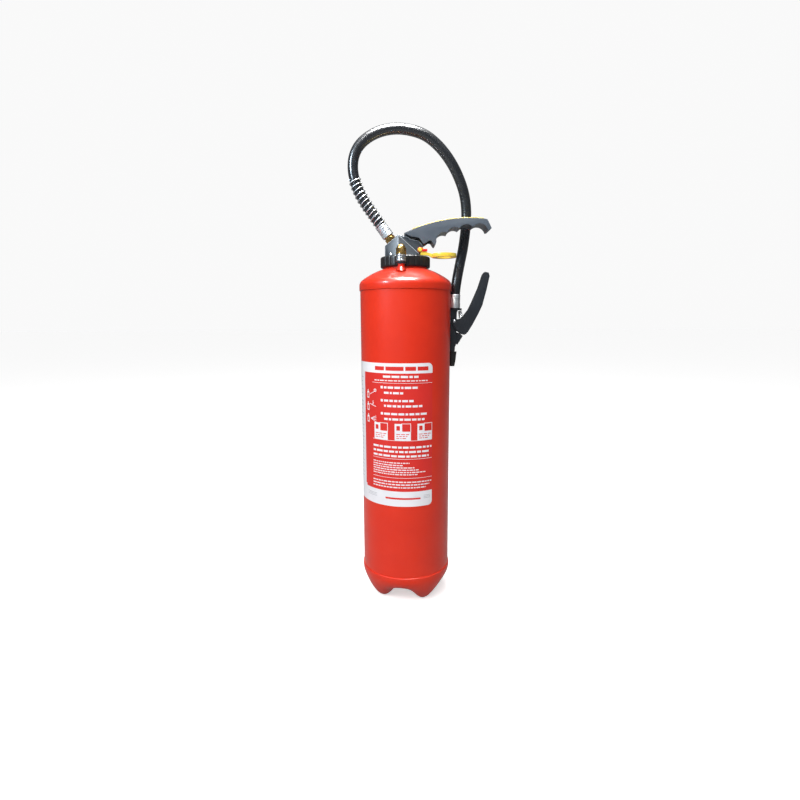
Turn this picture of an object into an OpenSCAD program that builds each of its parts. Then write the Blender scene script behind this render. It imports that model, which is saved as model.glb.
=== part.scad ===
// Nine kilogram powder extinguisher with an inner gas cartridge, a carrying lever and a hose with a pistol.
// The origin is on the vessel's axis at floor level. +Z is up, the relief valve is at -Y, the lever at +X.

/* [Vessel] */
// Outer radius of the barrel
body_r = 80; // [60:1:100]
// Height of the barrel between its two lap seams
barrel_h = 505; // [400:1:620]
// Height of the lower lap seam above the floor
seam_low = 56; // [50:1:64]
// Thickness of the vessel's sheet
wall = 1.4; // [1:0.1:2.5]
// How far each end cap laps over the barrel
lap_h = 6; // [4:1:10]
// Depth of the bottom dish between its feet
dish_depth = 34; // [28:1:40]
// How much deeper the dish is at a foot
foot_drop = 27; // [22:1:30]
// Radius of the top dome's crown
crown_r = 129; // [115:1:150]
// Radius of the top dome's rolled edge
knuckle_r = 12; // [8:1:16]

/* [Neck] */
// Radius of the neck opening
neck_r = 33.5; // [32:0.5:35]
// Wall of the welded neck collar
collar_wall = 5.5; // [4:0.5:7]
// Height of the neck collar above the upper seam
collar_rise = 43; // [40:1:48]
// Outer radius of the ring nut
ring_r = 43.5; // [42:0.5:50]
// Height of the ring nut
ring_h = 18.5; // [16:0.5:24]
// Thickness of the ring nut's top
ring_top_t = 7; // [4:0.5:9]
// Number of grip flutes around the ring nut
ring_flutes = 24; // [12:1:36]

/* [Head] */
// Height of the head's hose port shoulder above the ring nut
shoulder_h = 19; // [17:0.5:22]
// Height of the head's apex above the ring nut
apex_h = 36; // [34:0.5:38]
// Half the depth of the head casting
head_half = 21; // [19:0.5:24]
// Half the thickness of the web that carries the lever
web_half = 14.5; // [12:0.5:15]
// Height of the lever's pivot above the ring nut
pivot_h = 27.5; // [26:0.5:29]
// Radius of the lever's pivot pin
pivot_r = 3; // [2:0.5:4]

/* [Control lever] */
// Width of the lever
lever_w = 40; // [36:1:50]
// Thickness of the lever's roof over the web
lever_roof = 4; // [3:0.5:5]
// Thickness of the strip on top of the lever
strip_t = 1.6; // [1:0.1:2.5]
// Radius of the striker
striker_r = 2.5; // [2:0.25:3]

/* [Safety pin] */
// Radius of the safety pin
pin_r = 2; // [1.5:0.25:2.5]
// Outer radius of the pull ring
pull_r = 21; // [18:0.5:24]
// Radius of the pull ring's finger hole
pull_hole_r = 13; // [11:0.5:15]
// Thickness of the pull ring
pull_t = 6; // [4:0.5:6]

/* [Inside] */
// Radius of the gas cartridge
cartridge_r = 17; // [14:0.5:17.5]
// Length of the gas cartridge's body
cartridge_h = 185; // [120:5:260]
// Radius of the dip tube
dip_r = 9; // [7:0.5:10]
// Radius of the gas tube
gas_r = 4; // [3:0.5:4.5]

/* [Relief valve] */
// Radius of the relief valve's body
valve_r = 8.5; // [7:0.5:10]
// Height of the relief valve's body
valve_h = 15; // [12:1:20]
// Height of the relief valve's brass cap
valve_cap_h = 17.5; // [14:0.5:22]

/* [Hose] */
// Radius of the hose
hose_r = 9; // [8:0.25:9.5]
// Wall of the two crimped ferrules
ferrule_wall = 1.4; // [1:0.1:2]
// Wire radius of the bend guard spring
guard_wire = 0.9; // [0.6:0.1:1.2]
// Number of turns in the bend guard spring
guard_turns = 12; // [8:1:16]

/* [Pistol] */
// Half the thickness of the pistol's casting
pistol_half = 7; // [6:0.25:8]
// Thickness of the trigger's side plates
trigger_wall = 2.5; // [1.5:0.25:3]
// Radius of the pistol's pivot pin
trigger_pin_r = 2; // [1.5:0.25:2.5]
// Radius of the nozzle's tip
nozzle_r = 4; // [3:0.25:4.5]

/* [Label] */
// Height of the label's lower edge
label_low = 190; // [120:5:240]
// Height of the label
label_h = 249; // [120:1:260]

/* [Hidden] */

$fn = 72;
run = 0.05;      // radial clearance of a shaft in its bore
fit = 0.3;       // clearance between pieces that only lie near each other
eps = 0.01;

// Vessel levels
seam_r = body_r + run + wall;
seam_top = seam_low + barrel_h;
knuckle_z = seam_top + 8.4;
crown_z = knuckle_z - sqrt(pow(crown_r - knuckle_r, 2) - pow(seam_r - knuckle_r, 2));
function dome_z(r) = crown_z + sqrt(crown_r * crown_r - r * r);

// Neck levels
collar_r = neck_r + collar_wall;
collar_top = dome_z(collar_r) + 6;
gasket_t = 2.5;
flange_low = collar_top + gasket_t;
flange_t = 5;
flange_r = collar_r - 1;
ring_bore = collar_r + 0.2;
plate_low = flange_low + flange_t;
ring_top = plate_low + ring_top_t;
stem_r = 29.8;
socket_low = collar_top - 8;

// Inner pieces
cartridge_x = neck_r - cartridge_r - 2.5;
dip_x = -(neck_r - dip_r - 3);
gas_pos = [cartridge_x - 4, 24];
neck_thread_r = 8;
cartridge_top = collar_top - 0.1;
seal_t = 0.4;
flute_r = 3;
flute_deep = 0.8;

// Head casting, from the left end to the right, heights above the ring nut
block_left = -35.5;
block_right = 24.5;
apex_x = -12.5;
heel_h = 4.5;
port_x = -23.5;
port_tilt = atan2(apex_h - shoulder_h, apex_x - block_left);
port_h = shoulder_h + (port_x - block_left) * tan(port_tilt);
port_r = 5.8;
pivot_x = -4;
tongue_half = 5.5;
strip_from = 8;
tongue_r = pivot_r + 3.3;
striker_x = cartridge_x;
striker_travel = 2.5;
press_h = pivot_h + 5;
pocket_low = 15.5;
pocket_r = 5.6;
pin_x = 25;
pin_h = 10.5;

// Relief valve
relief_pos = [-7.5, -(body_r - 26)];
relief_dome = dome_z(norm(relief_pos));
relief_low = relief_dome + 10;
relief_bore = 5;

// Pistol, in the pistol's own upright frame with its pivot at the origin
pistol_at = [body_r + 9, 22, seam_top - 53.5];
pistol_lean = 1.6;
ferrule_len = 24;
flange_up = 20.5;
branch_tilt = 30;
branch_end = [5.5, -34];
trigger_half = pistol_half + 0.5 + trigger_wall;
nozzle_x = -1.1;
nozzle_low = -78;
bracket_t = 1.5;

// The hose's centreline, from the head's ferrule to the pistol's ferrule
hose_route = [[-30, 0, 655.5], [-42, 0, 672.5], [-54.5, 0, 690], [-67, 0, 707.5], [-78, 0, 726],
    [-86, 0, 746], [-89.5, 0, 767], [-87, 0, 787], [-77.5, 0, 804.5], [-61, 0, 818], [-40, 0, 827],
    [-16, 1, 831], [8, 3, 829.5], [32, 7, 823.5], [52, 12, 812], [70, 17, 795.5], [86, 22, 774.5],
    [98, 27, 752.5], [106, 31, 731], [110, 34, 708], [110.5, 35.5, 684], [108.5, 35.5, 660],
    [105, 33.5, 636], [100, 30, 612], [95.5, 26, 590], [92, 23, 569], [90.5, 22, 553], [89.9, 22, 533.5]];

// Sweeps a round wire along points; refs are directions that never lie along the wire
function unit(v) = v / norm(v);
function tangent(p, i) = unit(p[min(i + 1, len(p) - 1)] - p[max(i - 1, 0)]);
function wire_ring(p, refs, i, r, sides) = let (t = tangent(p, i), n = unit(refs[i] - (refs[i] * t) * t),
    b = cross(t, n), step = 360 / sides) [for (k = [0:sides - 1]) p[i] + r * (cos(step * k) * n
    + sin(step * k) * b)];
module wire(p, refs, r, sides) {
    last = len(p) - 1;
    points = [for (i = [0:last]) each wire_ring(p, refs, i, r, sides)];
    side_faces = [for (i = [0:last - 1]) for (k = [0:sides - 1]) let (a = i * sides + k,
        b = i * sides + (k + 1) % sides) each [[a, a + sides, b], [b, a + sides, b + sides]]];
    ends = [[for (k = [0:sides - 1]) k], [for (k = [sides - 1:-1:0]) last * sides + k]];
    polyhedron(points, concat(side_faces, ends));
}
module coil(r, wire_r, h, turns) {
    steps = turns * 10;
    lift = h - 2 * wire_r;
    p = [for (i = [0:steps]) [r * cos(36 * i), r * sin(36 * i), wire_r + lift * i / steps]];
    wire(p, [for (i = [0:steps]) [cos(36 * i), sin(36 * i), 0]], wire_r, 6);
}
module ring(r_in, r_out, h) {
    difference() {
        cylinder(r = r_out, h = h);
        translate([0, 0, -eps]) cylinder(r = r_in, h = h + 2 * eps);
    }
}
module upright(half, points) {
    rotate([90, 0, 0]) translate([0, 0, -half]) linear_extrude(2 * half) polygon(points);
}
module across(r, y0, y1) {
    translate([0, y0, 0]) rotate([-90, 0, 0]) cylinder(r = r, h = y1 - y0);
}
function arc(c, r, a0, a1, n) = [for (i = [0:n]) let (a = a0 + (a1 - a0) * i / n) c + r * [cos(a), sin(a)]];
function arc_through(a, b, c, n) = let (
    d = 2 * (a[0] * (b[1] - c[1]) + b[0] * (c[1] - a[1]) + c[0] * (a[1] - b[1])),
    qa = a * a, qb = b * b, qc = c * c,
    m = [qa * (b[1] - c[1]) + qb * (c[1] - a[1]) + qc * (a[1] - b[1]),
        qa * (c[0] - b[0]) + qb * (a[0] - c[0]) + qc * (b[0] - a[0])] / d)
    arc(m, norm(a - m), atan2(a[1] - m[1], a[0] - m[0]), atan2(c[1] - m[1], c[0] - m[0]), n);

// Vessel
module barrel_shell() {
    color("red") translate([0, 0, seam_low - lap_h]) ring(body_r - wall, body_r, barrel_h + 2 * lap_h);
}
function dome_line(inset) = concat([[seam_r - inset, seam_top], [seam_r - inset, knuckle_z]],
    arc([seam_r - knuckle_r, knuckle_z], knuckle_r - inset, 8,
        atan2(knuckle_z - crown_z, seam_r - knuckle_r) - 1, 7),
    [for (i = [0:8]) let (r = (seam_r - knuckle_r - 1) + (collar_r - seam_r + knuckle_r + 1) * i / 8)
        [r, crown_z + sqrt(pow(crown_r - inset, 2) - r * r)]]);
module top_dome() {
    inner = dome_line(wall);
    color("red") difference() {
        rotate_extrude() polygon(concat(dome_line(0), [for (i = [len(inner) - 1:-1:0]) inner[i]]));
        translate([relief_pos[0], relief_pos[1], relief_dome - 10]) cylinder(r = relief_bore / 2, h = 20);
    }
}
// The dish's outer surface: a shallow bowl with four rounded feet pressed out of it
feet = 4;
foot_turn = -54;
function bowl(u) = seam_low - lap_h + 6 * (1 - u) - (dish_depth - lap_h) * pow(1 - pow(u, 4), 0.5);
function foot_wave(u) = u < 0.25 ? 0 : pow(sin(180 * (u - 0.25) / 0.75), 0.85);
function foot_lobe(a) = pow(0.5 + 0.5 * cos(feet * (a - foot_turn)), 1.2);
function dish_z(u, a) = max(0, bowl(u) - foot_drop * foot_wave(u) * foot_lobe(a));
dish_rows = [0.12, 0.25, 0.34, 0.42, 0.5, 0.57, 0.64, 0.71, 0.78, 0.84, 0.89, 0.935, 0.97, 0.99];
module base_dish() {
    cols = 48;
    outer = concat(dish_rows, [1]);
    n = len(outer);
    inner_k = (body_r - wall) / seam_r;
    lap_r = (body_r + run) / cos(180 / cols);
    function at(u, a, k, lift) = [seam_r * u * k * sin(a), -seam_r * u * k * cos(a), dish_z(u, a) + lift];
    function level(r, z) = [for (c = [0:cols - 1]) let (a = 360 * c / cols) [r * sin(a), -r * cos(a), z]];
    rows = concat([for (u = outer) [for (c = [0:cols - 1]) at(u, 360 * c / cols, 1, 0)]],
        [level(seam_r, seam_low), level(lap_r, seam_low), level(lap_r, seam_low - lap_h - run),
        level(body_r - wall, seam_low - lap_h - run)],
        [for (i = [n - 2:-1:0]) [for (c = [0:cols - 1]) at(outer[i], 360 * c / cols, inner_k, wall)]]);
    m = len(rows);
    points = concat([[0, 0, dish_z(0, 0)]], [for (r = rows) each r], [[0, 0, dish_z(0, 0) + wall]]);
    top = len(points) - 1;
    fans = [for (c = [0:cols - 1]) let (d = (c + 1) % cols)
        each [[0, 1 + c, 1 + d], [top, 1 + (m - 1) * cols + d, 1 + (m - 1) * cols + c]]];
    bands = [for (r = [0:m - 2]) for (c = [0:cols - 1]) let (d = (c + 1) % cols,
        a = 1 + r * cols + c, b = 1 + r * cols + d)
        each [[a, a + cols, b], [b, a + cols, b + cols]]];
    color("red") polyhedron(points, concat(fans, bands));
}
module label() {
    color("white") rotate([0, 0, 170]) translate([0, 0, label_low])
        rotate_extrude(angle = 134) translate([body_r + 0.02, 0]) square([0.2, label_h]);
}

// Neck
module neck_collar() {
    foot = dome_z(collar_r) - 8;
    color("gray") translate([0, 0, foot]) ring(neck_r, collar_r - run, collar_top - foot);
}
module neck_gasket() {
    color("black") translate([0, 0, collar_top]) ring(neck_r, collar_r - 1, gasket_t);
}
module cap_ring() {
    color("dimgray") difference() {
        translate([0, 0, ring_top - ring_h]) cylinder(r = ring_r, h = ring_h);
        translate([0, 0, ring_top - ring_h - 1]) cylinder(r = ring_bore, h = ring_h - ring_top_t + 1);
        translate([0, 0, plate_low - 1]) cylinder(r = stem_r + 0.2, h = ring_top_t + 2);
        for (i = [0:ring_flutes - 1]) rotate([0, 0, (i + 0.5) * 360 / ring_flutes])
            translate([ring_r + flute_r - flute_deep, 0, ring_top - ring_h - 1])
                cylinder(r = flute_r, h = ring_h + 2, $fn = 24);
    }
}

// Head
module head_profile() {
    upright(head_half + 1, [[block_left, 0], [block_left, shoulder_h], [apex_x, apex_h],
        [block_right - 1, heel_h], [block_right, 0]]);
}
module head_outer() {
    nose_half = 8;
    intersection() {
        head_profile();
        linear_extrude(apex_h + 1) polygon([[block_left, -nose_half], [apex_x, -head_half],
            [block_right, -head_half], [block_right, head_half], [apex_x, head_half],
            [block_left, nose_half]]);
    }
    upright(web_half, [[apex_x, 1], [block_right - 1, 0.3], [block_right + 2, 4], [block_right + 5.5, 12],
        [block_right + 6.5, 16], [block_right + 4, 20.5], [block_right, 25], [block_right - 6, 27.3],
        [8.2, 29.2], [4, 33], [-3, 33.5], [-5, apex_h], [apex_x, apex_h]]);
}
module head_low() {
    translate([0, 0, flange_low]) cylinder(r = flange_r, h = flange_t);
    translate([0, 0, flange_low]) cylinder(r = stem_r, h = ring_top - flange_low + 0.2);
    translate([cartridge_x, 0, socket_low]) cylinder(r = neck_thread_r + 4, h = 12);
    translate([dip_x, 0, socket_low]) cylinder(r = dip_r + 2.5, h = 12);
    translate([gas_pos[0], gas_pos[1], socket_low]) cylinder(r = gas_r + 2, h = 12);
}
module head_block() {
    gas_gap = norm([gas_pos[0] - cartridge_x, gas_pos[1]]);
    color("slategray") difference() {
        union() {
            head_low();
            translate([0, 0, ring_top]) head_outer();
        }
        translate([0, 0, ring_top]) {
            translate([pivot_x - tongue_r - fit, -tongue_half - 0.5, pivot_h - tongue_r - 1.7])
                cube([19, 2 * tongue_half + 1, 30]);
            translate([pivot_x, 0, pivot_h]) across(pivot_r + run, -web_half + 2, head_half + 1);
            translate([striker_x, 0, pocket_low]) cylinder(r = pocket_r, h = 30);
            translate([striker_x, 0, 2]) cylinder(r = striker_r + 1.9, h = 2.6);
            translate([pin_x, 0, pin_h]) across(pin_r + run, -web_half - 1, web_half + 1);
            translate([port_x, 0, port_h]) rotate([0, -port_tilt, 0]) translate([0, 0, -12])
                cylinder(r = port_r, h = 20);
        }
        translate([striker_x, 0, socket_low - 1]) cylinder(r = striker_r + run, h = ring_top);
        translate([cartridge_x, 0, socket_low - 1])
            cylinder(r = neck_thread_r + run, h = collar_top + seal_t + run - socket_low + 1);
        translate([cartridge_x, 0, collar_top]) cylinder(r = 4, h = 4);
        translate([cartridge_x, 0, collar_top + 2.5])
            rotate([0, 90, atan2(gas_pos[1], gas_pos[0] - cartridge_x)]) cylinder(r = 1.4, h = gas_gap);
        translate([gas_pos[0], gas_pos[1], 0]) {
            translate([0, 0, socket_low - 1]) cylinder(r = gas_r + run, h = collar_top - socket_low + 1);
            translate([0, 0, collar_top - 1]) cylinder(r = 2, h = 5);
        }
        translate([dip_x, 0, socket_low - 1]) cylinder(r = dip_r + run, h = collar_top - socket_low + 1);
        translate([dip_x, 0, socket_low]) cylinder(r = dip_r - wall, h = ring_top + shoulder_h - socket_low);
    }
}
module facet_screw() {
    color("silver") translate([-24.7, -14.2, ring_top + 4]) rotate([90, 0, -30])
        cylinder(r = 2.2, h = 1.5, $fn = 32);
}

// Control lever
finger_cuts = [[66.5, 26.5, 13.5], [85, 34, 14], [105, 37.5, 15], [127, 38.7, 15]];
lever_crest = arc_through([-2, 38.5], [62, 58.6], [134, 61.8], 18);
module lever_side() {
    difference() {
        polygon(concat(lever_crest, [[139.5, 60.8], [142, 57], [147.5, 45.8], [144.5, 43.3], [140, 43],
            [116, 46], [93, 43], [75, 36], [60, 30], [53.4, 24], [51.5, 18.8], [49.2, 18.8], [44.5, 25.6],
            [40.5, 26.2], [34, 21.6], [30.5, 20.8], [28, 24.5], [24.5, 29.8], [19.5, 31.6], [9, 33.2]]));
        for (f = finger_cuts) translate([f[0], f[1]]) circle(r = f[2]);
    }
}
module lever_hollow() {
    polygon(concat([for (p = lever_crest) if (p[0] < 44) p - [0, lever_roof]],
        [[45, 48], [45, 10], [-8, 10], [-8, 34]]));
}
module lever_tongue() {
    hull() {
        translate([pivot_x, pivot_h]) circle(r = tongue_r);
        polygon([[-2, 34], [8, 40], [8, 36]]);
    }
    polygon([[4, 36], [8, press_h], [19, press_h], [19, 45], [4, 39.5]]);
}
module control_lever() {
    color("lightslategray") translate([0, 0, ring_top]) difference() {
        rotate([90, 0, 0]) union() {
            difference() {
                translate([0, 0, -lever_w / 2]) linear_extrude(lever_w) lever_side();
                translate([0, 0, -web_half - 0.7]) linear_extrude(2 * web_half + 1.4) lever_hollow();
            }
            translate([0, 0, -tongue_half]) linear_extrude(2 * tongue_half) lever_tongue();
        }
        translate([pivot_x, 0, pivot_h]) across(pivot_r + run, -tongue_half - 1, tongue_half + 1);
    }
}
module lever_top_plate() {
    strip = [for (p = lever_crest) if (p[0] > strip_from) p];
    edge_in = 2;
    color("khaki") translate([0, 0, ring_top]) rotate([90, 0, 0])
        translate([0, 0, -lever_w / 2 + edge_in]) linear_extrude(lever_w - 2 * edge_in)
            polygon(concat([for (p = strip) p + [0, strip_t]], [for (i = [len(strip) - 1:-1:0]) strip[i]]));
}
module lever_pivot_pin() {
    color("silver") translate([pivot_x, 0, ring_top + pivot_h]) across(pivot_r, -web_half + 2, web_half);
}
module striker() {
    head_z = ring_top + press_h - 0.4;
    tip_z = collar_top + seal_t + run + striker_travel + 0.6;
    color("silver") translate([striker_x, 0, 0]) {
        translate([0, 0, tip_z]) cylinder(r = striker_r, h = head_z - 3 - tip_z);
        translate([0, 0, head_z - 3]) sphere(r = 3, $fn = 40);
        translate([0, 0, head_z - 6.5]) cylinder(r = 5, h = 2);
    }
}
module striker_spring() {
    low = ring_top + pocket_low + 0.1;
    color("silver") translate([striker_x, 0, low]) coil(4.3, 0.5, ring_top + press_h - 7 - low, 5);
}
module striker_seal() {
    color("black") translate([striker_x, 0, ring_top + 3.3]) rotate_extrude($fn = 48)
        translate([striker_r + 0.95, 0]) circle(r = 0.9, $fn = 24);
}

// Inside the vessel
module cartridge() {
    color("silver") translate([cartridge_x, 0, 0]) rotate_extrude() {
        base = cartridge_top - 16 - cartridge_h;
        polygon([[0, base], [cartridge_r - 4, base], [cartridge_r, base + 4],
            [cartridge_r, cartridge_top - 24], [neck_thread_r, cartridge_top - 13],
            [neck_thread_r, cartridge_top], [3.5, cartridge_top], [3.5, cartridge_top - 6],
            [0, cartridge_top - 6]]);
    }
}
module cartridge_seal() {
    color("peru") translate([cartridge_x, 0, cartridge_top + run])
        cylinder(r = neck_thread_r - 0.5, h = seal_t);
}
module dip_tube() {
    low = dish_z(abs(dip_x) / seam_r, 0) + wall + 16;
    color("gainsboro") translate([dip_x, 0, low]) ring(dip_r - wall, dip_r, collar_top - run - low);
}
module dip_strainer() {
    low = dish_z(abs(dip_x) / seam_r, 0) + wall + 14;
    color("gainsboro") translate([dip_x, 0, low]) difference() {
        ring(dip_r + run, dip_r + 1.6, 16);
        for (a = [0, 90]) rotate([0, 0, a]) translate([-dip_r - 3, -2, -1]) cube([2 * dip_r + 6, 4, 4]);
    }
}
module gas_tube() {
    low = dish_z(0.4, 0) + wall + 30;
    color("gainsboro") translate([gas_pos[0], gas_pos[1], low])
        ring(gas_r - 1, gas_r, collar_top - run - low);
}

// Relief valve on the dome
module relief_boss() {
    stub_r = 5.5;
    color("red") translate([relief_pos[0], relief_pos[1], 0]) difference() {
        union() {
            translate([0, 0, relief_dome - 3]) cylinder(r = stub_r, h = relief_low - relief_dome + 3);
            translate([0, 0, relief_dome - 1]) cylinder(r1 = stub_r + 3, r2 = stub_r, h = 6);
        }
        translate([0, 0, relief_dome - 5]) cylinder(r = relief_bore / 2, h = 20);
        translate([-relief_pos[0], -relief_pos[1], crown_z]) sphere(r = crown_r + run, $fn = 200);
    }
}
module relief_body() {
    color("silver") translate([relief_pos[0], relief_pos[1], relief_low]) difference() {
        union() {
            cylinder(r = valve_r - 1, h = 4);
            translate([0, 0, 4]) cylinder(r = valve_r, h = valve_h - 4);
        }
        translate([0, 0, -1]) cylinder(r = relief_bore / 2, h = valve_h + 2);
        translate([0, 0, 4]) cylinder(r = relief_bore, h = valve_h);
        for (z = [7, 11]) translate([0, 0, z]) ring(valve_r - 0.8, valve_r + 1, 1.2);
    }
}
module relief_cap() {
    color("goldenrod") translate([relief_pos[0], relief_pos[1], relief_low + valve_h]) difference() {
        union() {
            cylinder(r = valve_r - 0.2, h = 2.5);
            cylinder(r = valve_r, h = valve_cap_h - 7, $fn = 6);
            translate([0, 0, valve_cap_h - 7.4]) intersection() {
                sphere(r = valve_r - 1.2);
                cylinder(r = valve_r, h = 7.4);
            }
        }
        translate([0, 0, -1]) cylinder(r = relief_bore, h = valve_cap_h - 5);
    }
}
module relief_poppet() {
    color("gold") translate([relief_pos[0], relief_pos[1], relief_low + 4]) {
        cylinder(r = relief_bore - 0.4, h = 2);
        cylinder(r = 1.5, h = 14);
    }
}
module relief_spring() {
    color("silver") translate([relief_pos[0], relief_pos[1], relief_low + 6.1])
        coil(3.4, 0.45, valve_h + valve_cap_h - 12.3, 6);
}

// Safety pin with its pull ring and tamper seal
pull_x = pin_x + pull_r + 20.6;
pull_y = -20;
module safety_pin() {
    color("khaki") translate([pin_x, 0, ring_top + pin_h]) {
        across(pin_r, -web_half - 2, web_half + 3);
        across(3.6, -web_half - 9.7, -web_half - fit);
    }
}
module pull_ring() {
    low = ring_top - 2.5;
    color("khaki") {
        translate([pull_x, pull_y, low]) ring(pull_hole_r, pull_r, pull_t);
        translate([0, pull_y, ring_top]) difference() {
            upright(2.2, [[pin_x + 1, pin_h + 4.2], [pin_x + 5, pin_h + 3], [pin_x + 12, 6],
                [pin_x + 22, 3.4], [pin_x + 22, -2.5], [pin_x + 19.5, -2.4], [pin_x + 15, 0.6],
                [pin_x + 1, 1.8]]);
            translate([pin_x, 0, pin_h]) across(3.6 + run, -5, 5);
        }
    }
}
module seal_tag() {
    color("crimson") translate([pin_x, -web_half - 8.5, ring_top + pin_h]) {
        rotate([90, 0, 0]) rotate_extrude($fn = 40) translate([4.1, 0]) circle(r = 0.4, $fn = 16);
        translate([4, -0.5, -3.2]) cube([8.5, 1, 4.2]);
    }
}

// Hose with its end pieces
port_at = [port_x, 0, ring_top + port_h];
module at_port() {
    translate(port_at) rotate([0, -port_tilt, 0]) children();
}
module hose_nipple() {
    color("goldenrod") at_port() difference() {
        union() {
            translate([0, 0, -9]) cylinder(r = port_r - run, h = 10);
            translate([0, 0, 0.1]) cylinder(r = 9.2, h = 6.9, $fn = 6);
            translate([0, 0, 6.9]) cylinder(r = 8, h = 3);
        }
        translate([0, 0, -10]) cylinder(r = 3.5, h = 22);
    }
}
module head_ferrule() {
    color("silver") at_port() translate([0, 0, 9.9]) difference() {
        ring(3.5, hose_r + run + ferrule_wall, 22);
        translate([0, 0, 1]) cylinder(r = hose_r + run, h = 22);
    }
}
module hose() {
    color("black") wire(hose_route, [for (p = hose_route) [0, 1, 0]], hose_r, 10);
}
function spline(a, b, c, d, t) = 0.5 * (2 * b + (c - a) * t + (2 * a - 5 * b + 4 * c - d) * t * t
    + (3 * b - a - 3 * c + d) * t * t * t);
function route_at(t) = let (i = floor(t)) spline(hose_route[i - 1], hose_route[i], hose_route[i + 1],
    hose_route[i + 2], t - i);
module guard_spring() {
    from = 1.05;
    to = 5.25;
    steps = guard_turns * 10;
    mid = [for (i = [0:steps]) route_at(from + (to - from) * i / steps)];
    out = [for (i = [0:steps]) let (t = tangent(mid, i), n = unit(cross(t, [0, 1, 0])))
        cos(36 * i) * n + sin(36 * i) * cross(t, n)];
    color("silver") wire([for (i = [0:steps]) mid[i] + (hose_r + guard_wire + fit) * out[i]], out,
        guard_wire, 6);
}

// Pistol on the hose's end
module in_pistol() {
    translate(pistol_at) rotate([0, pistol_lean, 0]) children();
}
module pistol_ferrule() {
    color("silver") in_pistol() translate([0, 0, flange_up + 3.5]) difference() {
        ring(3.5, hose_r + run + ferrule_wall, ferrule_len);
        translate([0, 0, 2]) cylinder(r = hose_r + run, h = ferrule_len);
    }
}
module along_branch() {
    translate([branch_end[0], 0, branch_end[1]]) rotate([0, branch_tilt - pistol_lean, 0]) children();
}
module pistol_body() {
    color("dimgray") in_pistol() difference() {
        union() {
            translate([0, 0, flange_up]) cylinder(r = 11.6, h = 3.5);
            upright(pistol_half, [[-8, flange_up + 3.4], [13, flange_up + 3.4], [13, flange_up + 0.4],
                [6, flange_up - 0.2], [4.5, 17], [4.5, -12], [5, -22], [9, -31], [6.8, -38], [3.6, -46],
                [3.2, -54], [-5.4, -54], [-7.5, -44], [-8.5, -30], [-8.5, 10]]);
            along_branch() translate([0, 0, -6]) cylinder(r = 6.6, h = 6.1);
        }
        translate([-1.5, 0, -60]) cylinder(r = 3, h = 100);
        along_branch() translate([0, 0, -9]) cylinder(r = striker_r + run, h = 12);
        along_branch() translate([0, 0, 0.05]) cylinder(r = 7.1, h = 14.2);
        across(trigger_pin_r, -pistol_half - 1, pistol_half + 1);
    }
}
module pistol_nozzle() {
    color("dimgray") in_pistol() translate([nozzle_x, 0, nozzle_low]) difference() {
        cylinder(r1 = nozzle_r, r2 = nozzle_r + 0.3, h = 23.9);
        translate([0, 0, -1]) cylinder(r = nozzle_r / 2, h = 26);
    }
}
module valve_nut() {
    color("dimgray") in_pistol() along_branch() translate([0, 0, 0.1]) difference() {
        cylinder(r = 7, h = 13);
        translate([0, 0, -1]) cylinder(r = striker_r + run, h = 16);
        translate([0, 0, 4]) ring(6.4, 8, 1);
        translate([0, 0, -eps]) cylinder(r = 4.5, h = 3);
    }
}
module valve_stem() {
    color("silver") in_pistol() along_branch() {
        translate([0, 0, -8]) cylinder(r = striker_r, h = 26.5);
        translate([0, 0, 20.5]) sphere(r = 3.6, $fn = 40);
    }
}
module stem_seal() {
    color("black") in_pistol() along_branch() translate([0, 0, 0.3]) ring(striker_r + run, 4.3, 2.4);
}
trigger_side = [[-3.4, -3], [3, -15.5], [14, -23.2], [18.5, -24.2], [22, -22.5], [25.5, -18.6], [33.5, -5.5],
    [43, 12.5], [50.5, 28.5], [58, 57.5], [62.8, 80.5], [61, 86.5], [54, 88], [50.5, 83], [43, 59.5],
    [37.5, 46.5], [32, 33.5], [26, 21], [19.5, 12.5], [15.5, 6.5], [8, 4], [0, 4.5], [-3.2, 3.2]];
module trigger() {
    inner = trigger_half - trigger_wall;
    color("dimgray") in_pistol() rotate([0, -pistol_lean, 0]) difference() {
        union() {
            upright(trigger_half, trigger_side);
            across(4.5, -trigger_half, trigger_half);
        }
        difference() {
            upright(inner, [[-9, -25], [-9, 12], [8, 12], [15, 16], [20, 26], [52, 95], [59.5, 80],
                [55.3, 57.5],
                [47.8, 28.5], [40.5, 13.5], [31, -4.5], [23.3, -17.2], [21, -20], [18, -21.3], [15, -20.8],
                [10, -17.6], [7, -25]]);
            upright(inner + 1, [[9, 3.6], [17, 5.8], [18, 3.2], [9, 1]]);
        }
        translate([branch_end[0], 0, branch_end[1]]) rotate([0, branch_tilt, 0])
            translate([-6, -striker_r - 0.4, 13.4]) cube([16, 2 * striker_r + 0.8, 5]);
        across(trigger_pin_r + run, -trigger_half - 1, trigger_half + 1);
    }
}
module trigger_pin() {
    color("silver") in_pistol() across(trigger_pin_r, -trigger_half - 1, trigger_half + 1);
}
module trigger_spring() {
    color("silver") in_pistol() translate([12.8, 0, 6.2]) rotate([0, -10, 0]) coil(3.4, 0.6, 14, 5);
}

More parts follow.
